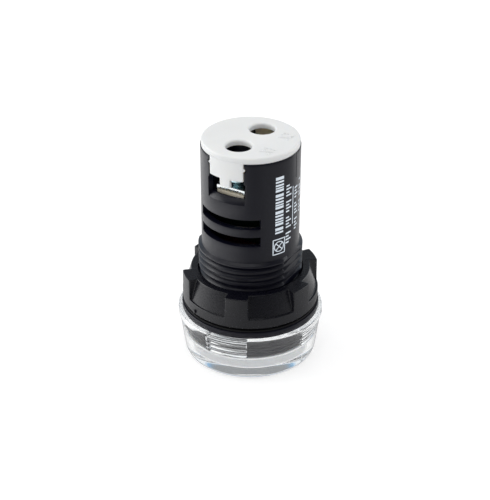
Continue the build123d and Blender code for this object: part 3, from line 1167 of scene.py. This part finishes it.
finishes = {
    "led_board": ("white_mask", "white_board"),
    "driver_board": ("shade_darkened_green_mask", "green_board"),
    "board_pins": ("tinned_wire", "tinned_wire"),
    "dropper_capacitor": ("capacitor_case", "capacitor_case"),
    "smoothing_capacitor": ("can_aluminium", "can_aluminium"),
    "bridge_rectifier": ("moulded_epoxy", "moulded_epoxy"),
    "resistor_1": ("resistor_lacquer", "resistor_lacquer"),
    "resistor_2": ("resistor_lacquer", "resistor_lacquer"),
    "terminal_plate_x1": ("brass_strip", "brass_strip"),
    "terminal_plate_x2": ("brass_strip", "brass_strip"),
}
for index in range(6):
    finishes[f"led_{index + 1}"] = ("led_package", "led_package")
for node, (look, slot) in finishes.items():
    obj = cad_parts[node]
    for place in obj.material_slots:
        place.material = looks[look]


# Floor, light and camera


camera_turn = 31.0
camera_tilt = 59.68
camera_place = (0.117610, -0.197892, 0.157270)
focal_length = 93.85
RIGHT, BACK, UP = (1, 0, 0), (0, 1, 0), (0, 0, 1)


def from_camera(right, back, up):
    # A place given from the camera's side of the light, in metres
    a = radians(camera_turn)
    return (right * cos(a) - back * sin(a), right * sin(a) + back * cos(a), up)


def dimmer(tree, vector, way, start, end, low, high):
    # A level that changes along a direction of the camera's: right, back or up
    return faded(tree, along(tree, vector, from_camera(*way)), start, end, low, high)


# The backdrop is white to the eye. Through clear plastic it is white too, but for a blue-edged grey patch
# low at the back. In gloss it is also darker on the camera's side and at the top.
ambient = 0.7
ambient_colour = (0.985, 0.99, 1.0)
sky_colour, edge_colour = (0.93, 0.97, 1.0), (0.42, 0.70, 1.0)
patch_level = 0.32
patch_back, patch_rise = (0.6, 0.73), (0.1, 0.3)
gloss_back, gloss_front = (-0.75, 0.42), 0.03
gloss_rise, gloss_top = (0.3, 0.8), 0.1
world = bpy.data.worlds.new("studio")
bpy.context.scene.world = world
world.use_nodes = True
tree = world.node_tree
soft_light = tree.nodes["Background"]
soft_light.inputs["Color"].default_value = (*ambient_colour, 1)
soft_light.inputs["Strength"].default_value = ambient
backdrop = tree.nodes.new("ShaderNodeBackground")
way = tree.nodes.new("ShaderNodeTexCoord").outputs["Generated"]
camera_ray, gloss_ray, clear_ray = ray_kinds(tree)
low_part = dimmer(tree, way, UP, *patch_rise, 0.0, 1.0)
patch = product(tree, dimmer(tree, way, BACK, *patch_back, 0.0, 1.0), low_part)
level = one_less(tree, product(tree, patch, 1 - patch_level))
gloss = product(tree, level, dimmer(tree, way, BACK, *gloss_back, gloss_front, 1.0))
gloss = product(tree, gloss, dimmer(tree, way, UP, *gloss_rise, 1.0, gloss_top))
level = mixed_level(tree, gloss_ray, level, gloss)
tree.links.new(mixed_level(tree, camera_ray, level, 1.0), backdrop.inputs["Strength"])
# 1 halfway through the patch's edge, and 0 in it and outside
edge = product(tree, product(tree, patch, one_less(tree, patch)), 4.0)
tint = mixed_colour(tree, edge, sky_colour, edge_colour)
tree.links.new(mixed_colour(tree, camera_ray, tint, (1, 1, 1)), backdrop.inputs["Color"])
choice = tree.nodes.new("ShaderNodeMixShader")
seen = linked_math(tree, "MAXIMUM", gloss_ray, clear_ray)
tree.links.new(linked_math(tree, "MAXIMUM", seen, camera_ray), choice.inputs[0])
tree.links.new(soft_light.outputs[0], choice.inputs[1])
tree.links.new(backdrop.outputs[0], choice.inputs[2])
tree.links.new(choice.outputs[0], tree.nodes["World Output"].inputs["Surface"])

# The floor is white to the eye and keeps a light shadow. In gloss it is brightest on the left and at the
# back, and darker far away. It lies a hair under the lens, whose polished face then mirrors inwards as it
# does on a table.
floor_half = 3.0
floor_gap = 0.04
floor_rough = 0.9
floor_white = 0.85
floor_seen = 0.5
glow_seen = 0.62
floor_clear = 0.2
glow_clear = 0.93
glow_gloss = 0.4
far_from, far_to, far_level = 0.1, 0.2, 0.15
floor_material, tree, shader = nodes_of("pale_floor")
shader.inputs["Roughness"].default_value = floor_rough
shader.inputs["Specular IOR Level"].default_value = 0.0
shader.inputs["Emission Color"].default_value = (1, 1, 1, 1)
camera_ray, gloss_ray, clear_ray = ray_kinds(tree)
place = object_place(tree)
# Each mirrored part has its start and end in metres and its levels there
left = dimmer(tree, place, RIGHT, -0.07, 0.0, 1.15, 0.3)
right = dimmer(tree, place, RIGHT, 0.02, 0.05, 0.0, 0.14)
behind = dimmer(tree, place, BACK, 0.0, 0.05, 0.0, 0.85)
gloss = linked_math(tree, "MAXIMUM", linked_math(tree, "ADD", left, right), behind)
distance = tree.nodes.new("ShaderNodeVectorMath")
distance.operation = "LENGTH"
tree.links.new(place, distance.inputs[0])
gloss = product(tree, gloss, faded(tree, distance.outputs["Value"], far_from, far_to, 1.0, far_level))
colour = mixed_level(tree, gloss_ray, floor_white, product(tree, gloss, floor_white))
colour = mixed_level(tree, clear_ray, colour, floor_clear)
tree.links.new(mixed_level(tree, camera_ray, colour, floor_seen), shader.inputs["Base Color"])
glow = product(tree, product(tree, gloss, gloss_ray), glow_gloss)
glow = mixed_level(tree, clear_ray, glow, glow_clear)
tree.links.new(mixed_level(tree, camera_ray, glow, glow_seen), shader.inputs["Emission Strength"])

bm = bmesh.new()
bmesh.ops.create_grid(bm, x_segments=1, y_segments=1, size=floor_half)
mesh = bpy.data.meshes.new("floor")
bm.to_mesh(mesh)
bm.free()
mesh.materials.append(floor_material)
floor = bpy.data.objects.new("floor", mesh)
floor.location.z = -floor_gap * MM
bpy.context.scene.collection.objects.link(floor)

lamp_aim = (0, 0, 0.025)


def lamp(name, place, size, power, through_clear=False):
    data = bpy.data.lights.new(name, "AREA")
    data.shape = "RECTANGLE"
    data.size, data.size_y = size
    data.energy = power
    obj = bpy.data.objects.new(name, data)
    obj.location = from_camera(*place)
    obj.rotation_euler = (Vector(lamp_aim) - obj.location).to_track_quat("-Z", "Y").to_euler()
    obj.visible_transmission = through_clear
    bpy.context.scene.collection.objects.link(obj)


lamp("top", (-0.1, 0.0, 0.6), (0.5, 0.5), 0.85, through_clear=True)
lamp("left", (-0.5, 0.05, 0.22), (0.3, 0.4), 1.05)
lamp("right", (0.5, 0.15, 0.2), (0.3, 0.4), 0.5)

camera = bpy.data.objects.new("camera", bpy.data.cameras.new("camera"))
camera.data.lens = focal_length
camera.data.sensor_width = 36.0
camera.data.clip_start = 0.01
camera.location = camera_place
camera.rotation_euler = (radians(camera_tilt), 0, radians(camera_turn))
bpy.context.scene.collection.objects.link(camera)
bpy.context.scene.camera = camera
bpy.context.scene.view_settings.view_transform = "Standard"

# Light is mirrored many times inside the clear lens before it comes out
bpy.context.scene.cycles.max_bounces = 24
bpy.context.scene.cycles.glossy_bounces = 16
bpy.context.scene.cycles.transmission_bounces = 16

bpy.context.view_layer.update()
